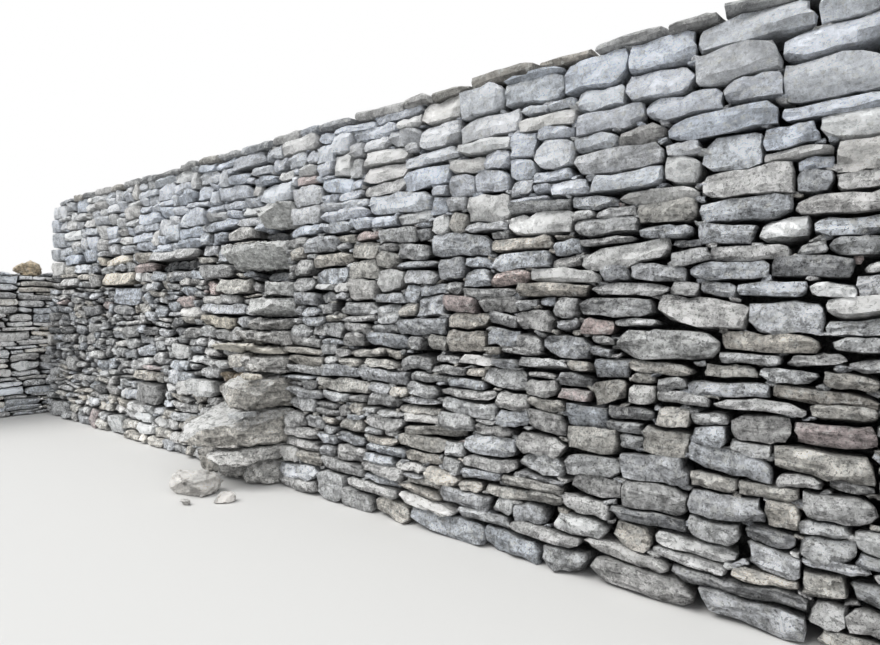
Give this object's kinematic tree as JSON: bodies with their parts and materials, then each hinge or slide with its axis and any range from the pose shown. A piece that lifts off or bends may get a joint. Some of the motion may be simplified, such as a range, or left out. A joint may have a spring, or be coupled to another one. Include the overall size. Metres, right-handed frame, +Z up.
{
  "type": "dry stone wall",
  "caption": "Tall battered dry stone wall with flat cover stones, a lower return wall at one end and the broken, toothed stub of a cross wall standing out of its front face.",
  "frame": {"origin": "on the ground under the middle of the tall wall's length and thickness, in line with the east side of the broken stub", "axes": "+X along the tall wall, from the return wall's end to the free end; +Y towards the back, so the front face looks to -Y; +Z up"},
  "size_m": [11.88, 3.73, 2.9996],
  "materials": {
    "face_stone": "rough weathered limestone",
    "back_stone": "rough weathered limestone",
    "footing_stone": "rough, earth-stained limestone",
    "hearting_stone": "rough broken limestone in shadow",
    "cover_stone": "rough, lichen-covered limestone",
    "quoin_stone": "roughly squared limestone",
    "return_stone": "thin-bedded rough limestone",
    "boulder_stone": "pale weathered limestone",
    "stub_stone": "rough broken limestone",
    "cream_stone": "pale cream limestone",
    "brown_stone": "brown weathered stone"
  },
  "bodies": {
    "root": {"footing_west": "footing_stone", "footing_middle": "footing_stone", "footing_east": "footing_stone", "front_face_bay_1": "face_stone", "front_face_bay_2": "face_stone", "front_face_bay_3": "face_stone", "front_face_bay_4": "face_stone", "back_face_bay_1": "back_stone", "back_face_bay_2": "back_stone", "back_face_bay_3": "back_stone", "back_face_bay_4": "back_stone", "hearting_west": "hearting_stone", "hearting_middle": "hearting_stone", "hearting_east": "hearting_stone", "cover_bay_1": "cover_stone", "cover_bay_2": "cover_stone", "cover_bay_3": "cover_stone", "cover_bay_4": "cover_stone", "east_quoins": "quoin_stone", "west_quoins": "quoin_stone", "return_footing": "footing_stone", "return_inner_face": "return_stone", "return_outer_face": "return_stone", "return_hearting": "hearting_stone", "return_cover": "cover_stone", "return_quoins": "quoin_stone", "corner_cap_stone": "brown_stone", "stub_foot_stone_west": "stub_stone", "stub_foot_stone_east": "stub_stone", "stub_foot_stone_outer": "boulder_stone", "stub_base_slab": "stub_stone", "stub_great_boulder": "boulder_stone", "stub_shoulder_stone": "boulder_stone", "stub_wide_bonder": "stub_stone", "stub_cream_slab": "cream_stone", "stub_flat_bonder": "stub_stone", "stub_thin_bonder": "stub_stone", "stub_square_bonder": "boulder_stone", "stub_sloping_bonder": "stub_stone", "stub_ledge_block": "stub_stone", "stub_top_block": "stub_stone", "fallen_boulder": "boulder_stone", "fallen_small_stones": "boulder_stone"}
  },
  "joints": []
}
